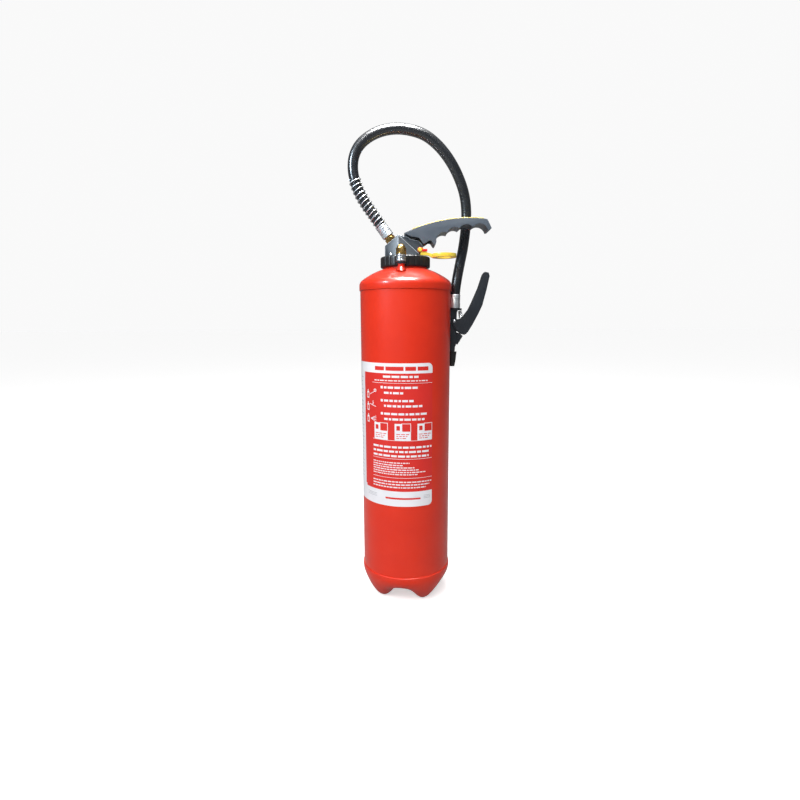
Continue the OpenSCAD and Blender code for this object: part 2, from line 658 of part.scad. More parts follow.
// Holder for the nozzle on the vessel's side
holder_turn = atan2(pistol_at[0] - 2, pistol_at[1]);
module nozzle_holder() {
    color("black") difference() {
        in_pistol() translate([nozzle_x, 0, 0]) difference() {
            union() {
                translate([0, 0, nozzle_low - 4]) cylinder(r1 = nozzle_r + 1.6, r2 = nozzle_r + 3.2, h = 10);
                translate([0, 0, nozzle_low + 6]) cylinder(r1 = nozzle_r + 3.2, r2 = nozzle_r + 4.6, h = 17);
                rotate([0, 0, -holder_turn]) translate([-5, -9.5, nozzle_low + 3]) cube([10, 5.5, 18]);
            }
            translate([0, 0, nozzle_low - 0.5]) cylinder(r = nozzle_r + 0.4, h = 30);
        }
        cylinder(r = body_r + bracket_t + run, h = pistol_at[2]);
    }
}
module holder_bracket() {
    color("gray") translate([0, 0, pistol_at[2] - 78]) rotate([0, 0, 90 - holder_turn - 7.5])
        rotate_extrude(angle = 15) translate([body_r + 0.02, 0]) square([bracket_t, 24]);
}

barrel_shell();
top_dome();
base_dish();
label();
neck_collar();
neck_gasket();
cap_ring();
head_block();
facet_screw();
control_lever();
lever_top_plate();
lever_pivot_pin();
striker();
striker_spring();
striker_seal();
cartridge();
cartridge_seal();
dip_tube();
dip_strainer();
gas_tube();
relief_boss();
relief_body();
relief_cap();
relief_spring();
relief_poppet();
safety_pin();
pull_ring();
seal_tag();
hose_nipple();
head_ferrule();
guard_spring();
hose();
pistol_ferrule();
pistol_body();
pistol_nozzle();
valve_nut();
valve_stem();
stem_seal();
trigger();
trigger_pin();
trigger_spring();
nozzle_holder();
holder_bracket();
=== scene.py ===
# Powder extinguisher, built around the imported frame. Lengths in the dictionaries are millimetres.
import math

import bmesh
import bpy
from mathutils import Matrix, Vector


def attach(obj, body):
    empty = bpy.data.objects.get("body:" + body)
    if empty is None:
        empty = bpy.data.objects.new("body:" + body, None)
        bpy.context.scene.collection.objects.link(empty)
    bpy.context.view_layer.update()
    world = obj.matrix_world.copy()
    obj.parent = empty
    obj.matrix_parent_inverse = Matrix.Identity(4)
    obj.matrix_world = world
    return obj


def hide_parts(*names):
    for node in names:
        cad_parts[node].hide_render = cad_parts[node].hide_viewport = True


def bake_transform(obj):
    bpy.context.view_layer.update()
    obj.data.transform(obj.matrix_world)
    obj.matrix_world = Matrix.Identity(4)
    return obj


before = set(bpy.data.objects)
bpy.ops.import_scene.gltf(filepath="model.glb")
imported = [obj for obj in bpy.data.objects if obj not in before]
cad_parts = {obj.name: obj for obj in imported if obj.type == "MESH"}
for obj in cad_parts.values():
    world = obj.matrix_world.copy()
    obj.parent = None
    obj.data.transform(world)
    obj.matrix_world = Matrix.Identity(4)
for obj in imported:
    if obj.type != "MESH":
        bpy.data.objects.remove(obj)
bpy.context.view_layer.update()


mm = 0.001

# Levels that several pieces share, as in the part's own source
vessel = {"radius": 80, "wall": 1.4, "seamRadius": 81.45, "seamLow": 56, "seamTop": 561, "lap": 6,
          "knuckle": 12, "crown": 129, "collar": 39}
vessel["knuckleZ"] = vessel["seamTop"] + 8.4
vessel["crownZ"] = vessel["knuckleZ"] - math.sqrt((vessel["crown"] - vessel["knuckle"]) ** 2
                                                  - (vessel["seamRadius"] - vessel["knuckle"]) ** 2)


def domeHeight(r):
    return vessel["crownZ"] + math.sqrt(vessel["crown"] ** 2 - r * r)


collarTop = domeHeight(vessel["collar"]) + 6
ringTop = collarTop + 14.5

# ---- Camera, at the height of the upper third and tipped down a little
view = {"place": (-0.0103, -0.9056, 0.507), "tip": 81.1, "roll": -0.23, "lens": 22.43}
cameraData = bpy.data.cameras.new("camera")
cameraData.lens = view["lens"]
cameraData.sensor_width = 36
camera = bpy.data.objects.new("camera", cameraData)
camera.matrix_world = (Matrix.Translation(view["place"]) @ Matrix.Rotation(math.radians(view["tip"]), 4, "X")
                       @ Matrix.Rotation(math.radians(view["roll"]), 4, "Z"))
bpy.context.scene.collection.objects.link(camera)
bpy.context.scene.camera = camera
bpy.context.scene.view_settings.view_transform = "Standard"


# ---- Shader tools
class Wire:  # one socket, so that shader maths reads as plain sums
    def __init__(self, finish, socket):
        self.finish = finish
        self.socket = socket

    def maths(self, operation, *values, clamp=False):
        return self.finish.node("ShaderNodeMath", {"operation": operation, "use_clamp": clamp}, list(values))

    def __add__(self, other):
        return self.maths("ADD", self, other)

    def __sub__(self, other):
        return self.maths("SUBTRACT", self, other)

    def __mul__(self, other):
        return self.maths("MULTIPLY", self, other)

    def __rsub__(self, other):
        return self.maths("SUBTRACT", other, self)

    __radd__ = __add__
    __rmul__ = __mul__

    def sine(self):
        return self.maths("SINE", self)

    def within(self, low, high):  # rises from 0 to 1 between two values
        return self.maths("DIVIDE", self - low, high - low, clamp=True)


class Finish:  # one material with its Principled shader
    def __init__(self, name, **constants):
        self.material = bpy.data.materials.new(name)
        self.material.use_nodes = True
        self.nodes = self.material.node_tree.nodes
        self.links = self.material.node_tree.links
        self.nodes.clear()
        self.shader = self.nodes.new("ShaderNodeBsdfPrincipled")
        output = self.nodes.new("ShaderNodeOutputMaterial")
        self.links.new(self.shader.outputs[0], output.inputs["Surface"])
        for socket, value in constants.items():
            label = socket.replace("_", " ").title().replace("Ior", "IOR")
            self.shader.inputs[label].default_value = value
        self.place = self.node("ShaderNodeTexCoord", {}, {}, out="Object")

    def node(self, kind, settings, values, out=0):
        made = self.nodes.new(kind)
        for key, value in settings.items():
            if key == "stops":
                ramp = made.color_ramp
                while len(ramp.elements) < len(value):
                    ramp.elements.new(0.5)
                for stop, (position, colour) in zip(ramp.elements, value):
                    stop.position = position
                    stop.color = colour
            else:
                setattr(made, key, value)
        pairs = values.items() if isinstance(values, dict) else enumerate(values)
        for key, value in pairs:
            if isinstance(value, Wire):
                self.links.new(value.socket, made.inputs[key])
            else:
                made.inputs[key].default_value = value
        return Wire(self, made.outputs[out])

    def feed(self, **wires):
        for socket, wire in wires.items():
            self.links.new(wire.socket, self.shader.inputs[socket.replace("_", " ").title()])
        return self

    def noise(self, scale, detail=3.0, rough=0.5, place=None, squeeze=None):
        where = place or self.place
        if squeeze:
            where = self.node("ShaderNodeMapping", {}, {"Vector": where, "Scale": squeeze})
        return self.node("ShaderNodeTexNoise", {}, {"Vector": where, "Scale": scale, "Detail": detail,
                                                    "Roughness": rough})

    def blend(self, amount, first, second):
        settings = {"data_type": "RGBA"}
        made = self.node("ShaderNodeMix", settings, {0: amount, 6: first, 7: second}, out=2)
        return made

    def bump(self, height, strength, distance, below=None):
        values = {"Height": height, "Strength": strength, "Distance": distance}
        if below:
            values["Normal"] = below
        return self.node("ShaderNodeBump", {}, values)


def shade(r, g, b):
    return (r, g, b, 1.0)


def paintedRed(name, dark, bright, coat, rough):
    paint = Finish(name, coat_weight=coat, coat_roughness=0.07, coat_ior=1.5, specular_ior_level=0.25)
    cloud = paint.noise(9, 4, 0.55)
    speck = paint.noise(260, 2, 0.5)
    colour = paint.blend(cloud.within(0.3, 0.7), shade(*dark), shade(*bright))
    peel = paint.noise(420, 1.5, 0.4)
    wave = paint.noise(60, 2, 0.5)
    normal = paint.bump(peel + wave * 1.6, 0.1, 0.0005)
    paint.feed(base_color=colour, roughness=rough + 0.08 * speck.within(0.35, 0.65), normal=normal)
    return paint


def moulded(name, dark, light, rough, grain=1400, depth=0.25):
    plastic = Finish(name, specular_ior_level=0.35)
    cloud = plastic.noise(22, 3, 0.5)
    colour = plastic.blend(cloud.within(0.3, 0.75), shade(*dark), shade(*light))
    normal = plastic.bump(plastic.noise(grain, 2, 0.6), depth, 0.00012)
    smear = plastic.noise(34, 3, 0.5).within(0.3, 0.75)
    plastic.feed(base_color=colour, roughness=rough + 0.08 * smear, normal=normal)
    return plastic


def metal(name, dark, light, rough, scratch=(1, 1, 14), tarnish=None, bumps=0.1):
    alloy = Finish(name, metallic=1.0)
    streak = alloy.noise(160, 4, 0.6, squeeze=scratch)
    colour = alloy.blend(streak.within(0.3, 0.7), shade(*dark), shade(*light))
    if tarnish:
        spots = alloy.noise(140, 5, 0.6).within(0.55, 0.75)
        colour = alloy.blend(spots * 0.6, colour, shade(*tarnish))
    normal = alloy.bump(streak, bumps, 0.0001)
    smear = alloy.noise(210, 4, 0.6).within(0.3, 0.7)
    alloy.feed(base_color=colour, roughness=rough + 0.1 * smear, normal=normal)
    return alloy


redPaint = paintedRed("redPaint", (0.60, 0.021, 0.005), (0.67, 0.028, 0.006), 0.28, 0.3)
filmRed = paintedRed("filmRed", (0.58, 0.018, 0.012), (0.63, 0.022, 0.015), 0.25, 0.4)
filmWhite = moulded("filmWhite", (0.70, 0.70, 0.74), (0.77, 0.77, 0.81), 0.3, 500, 0.05)
filmGrey = moulded("filmGrey", (0.34, 0.35, 0.40), (0.40, 0.41, 0.46), 0.35, 500, 0.05)
ringBlack = moulded("ringBlack", (0.007, 0.007, 0.008), (0.013, 0.013, 0.014), 0.33, 900, 0.2)
headGrey = moulded("headGrey", (0.036, 0.046, 0.058), (0.046, 0.057, 0.071), 0.33, 1500, 0.3)
# lighter edge colour for the head's bevels: worn paint and a painted highlight
headEdgeWearHighlight = moulded("headEdgeWearHighlight", (0.20, 0.23, 0.27), (0.34, 0.38, 0.43), 0.28, 1500, 0.3)
leverGrey = moulded("leverGrey", (0.070, 0.090, 0.116), (0.098, 0.122, 0.154), 0.3, 1500, 0.25)
gunGrey = moulded("gunGrey", (0.014, 0.018, 0.024), (0.020, 0.025, 0.032), 0.27, 1400, 0.2)
cupBlack = moulded("cupBlack", (0.008, 0.008, 0.009), (0.018, 0.018, 0.020), 0.34, 900, 0.3)
yellowPlastic = moulded("yellowPlastic", (0.74, 0.55, 0.05), (0.84, 0.66, 0.10), 0.2, 700, 0.1)
redPlastic = moulded("redPlastic", (0.60, 0.012, 0.012), (0.72, 0.02, 0.018), 0.22, 700, 0.1)
steel = metal("steel", (0.40, 0.41, 0.43), (0.60, 0.61, 0.63), 0.22)
chrome = metal("chrome", (0.62, 0.66, 0.70), (0.80, 0.83, 0.87), 0.3, bumps=0.05, tarnish=(0.50, 0.52, 0.55))
brass = metal("brass", (0.34, 0.20, 0.06), (0.55, 0.36, 0.13), 0.2, tarnish=(0.20, 0.11, 0.03))
nickel = metal("nickel", (0.36, 0.37, 0.39), (0.50, 0.51, 0.54), 0.26)
darkSteel = metal("darkSteel", (0.05, 0.055, 0.065), (0.10, 0.11, 0.13), 0.3)
rubber = moulded("rubber", (0.008, 0.008, 0.008), (0.018, 0.018, 0.019), 0.45)


def hoseCloth():
    cloth = Finish("hoseCloth", specular_ior_level=0.5, coat_weight=0.8, coat_roughness=0.22)
    uv = cloth.node("ShaderNodeUVMap", {"uv_map": "wrap"}, {})
    split = cloth.node("ShaderNodeSeparateXYZ", {}, [uv])
    around, along = split, Wire(cloth, split.socket.node.outputs["Y"])
    turns = 17  # threads around
    pitch = 0.0036
    warp = (around * (turns * 2 * math.pi) + along * (2 * math.pi / pitch)).sine()
    weft = (around * (turns * 2 * math.pi) - along * (2 * math.pi / pitch)).sine()
    weave = warp * weft
    dust = cloth.noise(55, 4, 0.6).within(0.35, 0.75)
    colour = cloth.blend(weave.within(-0.2, 0.9) * 0.6 + dust * 0.12, shade(0.004, 0.006, 0.009),
                         shade(0.013, 0.018, 0.027))
    normal = cloth.bump(weave + cloth.noise(700, 3, 0.6) * 0.12, 0.12, 0.0003)
    cloth.feed(base_color=colour, roughness=0.22 + 0.12 * dust, normal=normal)
    return cloth


hoseBlack = hoseCloth()
print("finishes made")


# ---- Mesh tools
def newPiece(name, bm, body, finishes, replaced=(), crease=32):
    mesh = bpy.data.meshes.new(name)
    bm.to_mesh(mesh)
    bm.free()
    for finish in finishes if isinstance(finishes, list) else [finishes]:
        mesh.materials.append(finish.material)
    mesh.shade_smooth()
    mesh.set_sharp_from_angle(angle=math.radians(crease))
    piece = bpy.data.objects.new(name, mesh)
    bpy.context.scene.collection.objects.link(piece)
    if body:
        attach(piece, body)
    if replaced:
        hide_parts(*replaced)
    return piece


def outlineEdges(bm, points, closed=True):
    verts = [bm.verts.new((x * mm, 0, z * mm)) for x, z in points]
    count = len(verts)
    return [bm.edges.new((verts[i], verts[(i + 1) % count])) for i in range(count if closed else count - 1)]


def spunMesh(points, steps, closed=True, matrix=None):
    bm = bmesh.new()
    outlineEdges(bm, points, closed)
    bmesh.ops.spin(bm, geom=list(bm.verts) + list(bm.edges), axis=(0, 0, 1), cent=(0, 0, 0), steps=steps,
                   angle=2 * math.pi, use_merge=True)
    bmesh.ops.remove_doubles(bm, verts=bm.verts, dist=1e-7)
    bmesh.ops.recalc_face_normals(bm, faces=bm.faces)
    if matrix:
        bmesh.ops.transform(bm, matrix=matrix, verts=bm.verts)
    return bm


def bevelSharp(bm, width, segments, crease, shortest):
    sharp = [edge for edge in bm.edges if len(edge.link_faces) == 2 and edge.calc_length() > shortest * mm
             and edge.calc_face_angle(0) > math.radians(crease)]
    return bmesh.ops.bevel(bm, geom=sharp, offset=width * mm, offset_type="OFFSET", segments=segments,
                           profile=0.5, affect="EDGES", clamp_overlap=not shortest, material=-1)["faces"]


def softened(name, finish, piece, shape=None):
    bm = bmesh.new()
    bm.from_mesh(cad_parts[piece["node"]].data)
    bmesh.ops.remove_doubles(bm, verts=bm.verts, dist=3e-6)
    bmesh.ops.dissolve_limit(bm, angle_limit=math.radians(0.4), verts=bm.verts, edges=bm.edges)
    edges = bevelSharp(bm, piece["width"], piece.get("segments", 3), piece.get("crease", 35),
                       piece.get("shortest", 0.0))
    if "wornAndHighlitEdges" in piece:  # the edges are painted lighter: partly thin, worn paint and partly a painted highlight
        for face in edges:
            face.material_index = 1
    if "darkBelow" in piece:
        for face in bm.faces:
            face.material_index = 1 if face.calc_center_median().z < piece["darkBelow"] * mm else 0
    if shape:
        shape(bm)
    return newPiece(name, bm, piece["body"], finish, (piece["node"],))


def dress(node, finish):
    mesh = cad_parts[node].data
    mesh.materials.clear()
    mesh.materials.append(finish.material)


def arcPoints(cx, cz, r, start, end, count):
    return [(cx + r * math.cos(math.radians(start + (end - start) * i / count)),
             cz + r * math.sin(math.radians(start + (end - start) * i / count))) for i in range(count + 1)]


def catmull(points, t):
    last = len(points) - 1
    i = min(int(t), last - 1)
    f = t - i
    a, b = points[max(i - 1, 0)], points[i]
    c, d = points[i + 1], points[min(i + 2, last)]
    return 0.5 * (2 * b + (c - a) * f + (2 * a - 5 * b + 4 * c - d) * f * f
                  + (3 * b - a - 3 * c + d) * f ** 3)


def tube(path, radius, sides, side=Vector((0, 1, 0)), uvName=None):
    bm = bmesh.new()
    frames = []
    last = len(path) - 1
    for i, point in enumerate(path):
        along = (path[min(i + 1, last)] - path[max(i - 1, 0)]).normalized()
        lean = side[i] if isinstance(side, list) else side
        across = (lean - along * lean.dot(along)).normalized()
        up = along.cross(across)
        turn = Matrix((across, up, along)).transposed().to_4x4()
        frames.append(Matrix.Translation(point) @ turn)
    bmesh.ops.create_circle(bm, cap_ends=True, radius=radius, segments=sides, matrix=frames[0])
    end = list(bm.faces)
    for step, (before, after) in enumerate(zip(frames, frames[1:])):
        grown = bmesh.ops.extrude_face_region(bm, geom=end)["geom"]
        if step:  # the first cap stays, and no cap is left inside
            bmesh.ops.delete(bm, geom=[face for face in end if face.is_valid], context="FACES_ONLY")
        end = [item for item in grown if isinstance(item, bmesh.types.BMFace)]
        moved = [item for item in grown if isinstance(item, bmesh.types.BMVert)]
        bmesh.ops.transform(bm, matrix=after @ before.inverted(), verts=moved)
    bmesh.ops.recalc_face_normals(bm, faces=bm.faces)
    if uvName:
        wrapAround(bm, path, frames, uvName)
    return bm


def wrapAround(bm, path, frames, uvName):
    lengths = [0.0]
    for a, b in zip(path, path[1:]):
        lengths.append(lengths[-1] + (b - a).length)
    spot = {}
    for vert in bm.verts:
        near = min(range(len(path)), key=lambda i: (path[i] - vert.co).length_squared)
        local = frames[near].inverted() @ vert.co
        spot[vert] = (math.atan2(local.y, local.x) / (2 * math.pi) % 1.0, lengths[near])
    layer = bm.loops.layers.uv.new(uvName)
    for face in bm.faces:
        turns = [spot[loop.vert][0] for loop in face.loops]
        for loop, turn in zip(face.loops, turns):
            if max(turns) - min(turns) > 0.5 and turn < 0.5:
                turn += 1.0
            loop[layer].uv = (turn, spot[loop.vert][1])


# ---- Hose, with its guard spring and its two crimped ferrules
hoseKit = {"radius": 9.0, "sides": 40, "steps": 8}
guardKit = {"wire": 0.9, "gap": 0.3, "turns": 12, "steps": 28, "sides": 10, "from": 1.05, "to": 5.25}
hoseRoute = [Vector(point) * mm for point in (
    (-30, 0, 655.5), (-42, 0, 672.5), (-54.5, 0, 690), (-67, 0, 707.5), (-78, 0, 726), (-86, 0, 746),
    (-89.5, 0, 767), (-87, 0, 787), (-77.5, 0, 804.5), (-61, 0, 818), (-40, 0, 827), (-16, 1, 831),
    (8, 3, 829.5), (32, 7, 823.5), (52, 12, 812), (70, 17, 795.5), (86, 22, 774.5), (98, 27, 752.5),
    (106, 31, 731), (110, 34, 708), (110.5, 35.5, 684), (108.5, 35.5, 660), (105, 33.5, 636), (100, 30, 612),
    (95.5, 26, 590), (92, 23, 569), (90.5, 22, 553), (89.9, 22, 533.5))]
steps = (len(hoseRoute) - 1) * hoseKit["steps"]
hosePath = [catmull(hoseRoute, i * (len(hoseRoute) - 1) / steps) for i in range(steps + 1)]
hoseLength = sum((b - a).length for a, b in zip(hosePath, hosePath[1:]))
hosePiece = newPiece("hoseLine", tube(hosePath, hoseKit["radius"] * mm, hoseKit["sides"], uvName="wrap"),
                     "root", hoseBlack, ("hose",))

springSteps = guardKit["turns"] * guardKit["steps"]
springMid = [catmull(hoseRoute, guardKit["from"] + (guardKit["to"] - guardKit["from"]) * i / springSteps)
             for i in range(springSteps + 1)]
springPath = []
springOut = []
for i, mid in enumerate(springMid):
    along = (springMid[min(i + 1, springSteps)] - springMid[max(i - 1, 0)]).normalized()
    across = along.cross(Vector((0, 1, 0))).normalized()
    turn = 2 * math.pi * i / guardKit["steps"]
    outward = across * math.cos(turn) + along.cross(across) * math.sin(turn)
    springOut.append(outward)
    springPath.append(mid + outward * (hoseKit["radius"] + guardKit["wire"] + guardKit["gap"]) * mm)
springMesh = tube(springPath, guardKit["wire"] * mm, guardKit["sides"], side=springOut)
springPiece = newPiece("bendGuard", springMesh, "root", chrome, ("guard_spring",))

port = {"x": -23.5, "tilt": math.degrees(math.atan2(17, 23))}
port["z"] = ringTop + 19 + 12 * math.tan(math.radians(port["tilt"]))
portPlace = (Matrix.Translation((port["x"] * mm, 0, port["z"] * mm))
             @ Matrix.Rotation(-math.radians(port["tilt"]), 4, "Y"))
gun = {"pivot": (89, 22, 507.5), "lean": 1.6}
gunPlace = (Matrix.Translation(Vector(gun["pivot"]) * mm)
            @ Matrix.Rotation(math.radians(gun["lean"]), 4, "Y"))


crimp = {"bore": 9.06, "out": 10.42, "hole": 3.5, "wall": 1.4, "edge": 0.7, "grooves": 4, "first": 2.6,
         "pitch": 3.4, "deep": 0.95, "steps": 64}


def ferrule(name, node, place, low, length):
    bore, out, edge, deep = crimp["bore"], crimp["out"], crimp["edge"], crimp["deep"]
    line = [(bore, low + crimp["wall"]), (bore, low + length), (out - edge, low + length),
            (out, low + length - 0.8)]
    for groove in range(crimp["grooves"]):  # crimped grooves, then a plain collar
        top = low + length - crimp["first"] - groove * crimp["pitch"]
        line += [(out, top), (out - 0.25, top - 0.35), (out - deep, top - 0.8), (out - deep, top - 1.6),
                 (out - 0.25, top - 2.05), (out, top - 2.4)]
    line += [(out, low + edge), (out - edge, low), (crimp["hole"], low), (crimp["hole"], low + crimp["wall"])]
    bm = spunMesh(line, crimp["steps"], matrix=place)
    return newPiece(name, bm, "root", chrome, (node,))


headFerrule = ferrule("crimpHead", "head_ferrule", portPlace, 9.9, 22)
gunFerrule = ferrule("crimpGun", "pistol_ferrule", gunPlace, 24, 24)
print("hose made", round(hoseLength, 4))

# ---- Vessel
dish = {"depth": 34, "drop": 27, "turn": -54, "feet": 4}


def bowlHeight(u):
    low, lap = vessel["seamLow"], vessel["lap"]
    return low - lap + 6 * (1 - u) - (dish["depth"] - lap) * math.sqrt(max(0.0, 1 - u ** 4))


def dishHeight(u, azimuth):
    swell = 0.0 if u < 0.25 else math.sin(math.pi * min(1.0, (u - 0.25) / 0.75)) ** 0.85 if u < 1 else 0.0
    lobe = (0.5 + 0.5 * math.cos(dish["feet"] * math.radians(azimuth - dish["turn"]))) ** 1.2
    return max(0.0, bowlHeight(u) - dish["drop"] * swell * lobe)


def makeBarrel():
    r, wall = vessel["radius"], vessel["wall"]
    low, high = vessel["seamLow"] - vessel["lap"], vessel["seamTop"] + vessel["lap"]
    bm = spunMesh([(r, low), (r, high), (r - wall, high), (r - wall, low)], 160)
    newPiece("vesselBarrel", bm, "root", redPaint, ("barrel_shell",))


def makeDome():
    r, knuckle, crown = vessel["seamRadius"], vessel["knuckle"], vessel["crown"]
    low, wall = vessel["seamTop"], vessel["wall"]
    lean = math.degrees(math.atan2(vessel["knuckleZ"] - vessel["crownZ"], r - knuckle))
    outer = [(r - 0.5, low), (r - 0.12, low + 0.15), (r, low + 0.55)]
    outer += arcPoints(r - knuckle, vessel["knuckleZ"], knuckle, 0, lean, 14)
    rim = r - knuckle + knuckle * math.cos(math.radians(lean))
    outer += [(rim + (vessel["collar"] - rim) * i / 24, domeHeight(rim + (vessel["collar"] - rim) * i / 24))
              for i in range(1, 25)]
    inner = [(vessel["collar"], domeHeight(vessel["collar"]) - wall), (rim, domeHeight(rim) - wall - 0.3),
             (r - wall, vessel["knuckleZ"]), (r - wall, low)]
    newPiece("vesselDome", spunMesh(outer + inner, 160), "root", redPaint, ("top_dome",), 50)


def makeBase():
    r = vessel["seamRadius"]
    count = 44
    line = [(r * math.sin(0.5 * math.pi * i / count), 0) for i in range(count + 1)]
    top = vessel["seamLow"]
    wallRows = [(r, top - 3), (r, top - 0.55), (r - 0.12, top - 0.15), (r - 0.5, top), (r - 1.35, top)]
    bm = spunMesh(line, 192, closed=False)
    for vert in bm.verts:
        u = min(1.0, math.hypot(vert.co.x, vert.co.y) / (r * mm))
        vert.co.z = dishHeight(u, math.degrees(math.atan2(vert.co.x, -vert.co.y))) * mm
    rim = [edge for edge in bm.edges if edge.is_boundary]
    for radius, height in wallRows:
        grown = bmesh.ops.extrude_edge_only(bm, edges=rim)["geom"]
        rim = [item for item in grown if isinstance(item, bmesh.types.BMEdge)]
        for vert in [item for item in grown if isinstance(item, bmesh.types.BMVert)]:
            scale = radius * mm / math.hypot(vert.co.x, vert.co.y)
            vert.co = (vert.co.x * scale, vert.co.y * scale, height * mm)
    bmesh.ops.edgeloop_fill(bm, edges=rim)
    bmesh.ops.recalc_face_normals(bm, faces=bm.faces)
    newPiece("vesselBase", bm, "root", redPaint, ("base_dish",), 60)


makeBarrel()
makeDome()
makeBase()
dress("relief_boss", redPaint)
dress("neck_collar", redPaint)
dress("neck_gasket", rubber)
print("vessel made")

# ---- Label film, laid out flat in degrees round the barrel and millimetres up, then wrapped
label = {"low": 190, "left": -100, "right": 34, "high": 249, "film": 80.12, "back": 80.04,
         "seat": 80.125, "ink": 80.16}


def wrapUp(bm, verts, radius):
    for vert in verts:
        azimuth = math.radians(vert.co.x)
        vert.co = (radius * mm * math.sin(azimuth), -radius * mm * math.cos(azimuth),
                   (label["low"] + vert.co.y) * mm)


def patch(bm, x0, x1, y0, y1, finish, lift=0.0, corners=(), turn=0.0):
    columns = max(1, int((x1 - x0) / 1.5))
    grid = bmesh.ops.create_grid(bm, x_segments=1, y_segments=1, size=0.5)["verts"]
    cx, cy = 0.5 * (x0 + x1), 0.5 * (y0 + y1)
    perDegree = math.pi / 180 * vessel["radius"]
    size = Matrix.Diagonal(((x1 - x0) * perDegree, y1 - y0, 1, 1))
    flat = Matrix.Diagonal((1 / perDegree, 1, 1, 1))
    bmesh.ops.transform(bm, matrix=Matrix.Rotation(math.radians(turn), 4, "Z") @ size, verts=grid)
    for vert in list(grid):
        for right, top, curve in corners:
            if (vert.co.x > 0) == right and (vert.co.y > 0) == top:
                made = bmesh.ops.bevel(bm, geom=[vert], offset=curve, offset_type="OFFSET", segments=8,
                                       profile=0.5, affect="VERTICES", clamp_overlap=True, material=-1)
                grid = [v for v in grid if v.is_valid] + made["verts"]
                break
    faces = {face for vert in grid if vert.is_valid for face in vert.link_faces}
    verts = {vert for face in faces for vert in face.verts}
    bmesh.ops.transform(bm, matrix=Matrix.Translation((cx, cy, 0)) @ flat, verts=list(verts))
    for i in range(1, columns):
        cut = x0 + (x1 - x0) * i / columns
        parts = list(faces) + list(verts) + list({edge for face in faces for edge in face.edges})
        done = bmesh.ops.bisect_plane(bm, geom=parts, plane_co=(cut, 0, 0), plane_no=(1, 0, 0), dist=1e-6)
        faces = {item for item in done["geom"] if isinstance(item, bmesh.types.BMFace)}
        verts = {vert for face in faces for vert in face.verts}
    for face in faces:
        face.material_index = finish
    wrapUp(bm, verts, label["ink"] + lift)


def wordRow(bm, x0, x1, y0, y1, finish, seed, long=4.2, gap=1.1, lift=0.0):
    x = x0
    step = seed
    while x < x1 - 0.8:
        step = (step * 37 + 11) % 101  # uneven lengths, the same in each run
        width = min(long * (0.45 + step / 90), x1 - x)
        patch(bm, x, x + width, y0, y1, finish, lift)
        x += width + gap


def thicken(bm, faces, back):  # each sheet becomes a thin closed solid
    grown = bmesh.ops.extrude_face_region(bm, geom=faces, use_keep_orig=True)["geom"]
    for vert in [item for item in grown if isinstance(item, bmesh.types.BMVert)]:
        reach = back * mm / math.hypot(vert.co.x, vert.co.y)
        vert.co = (vert.co.x * reach, vert.co.y * reach, vert.co.z)
    bmesh.ops.recalc_face_normals(bm, faces=bm.faces)


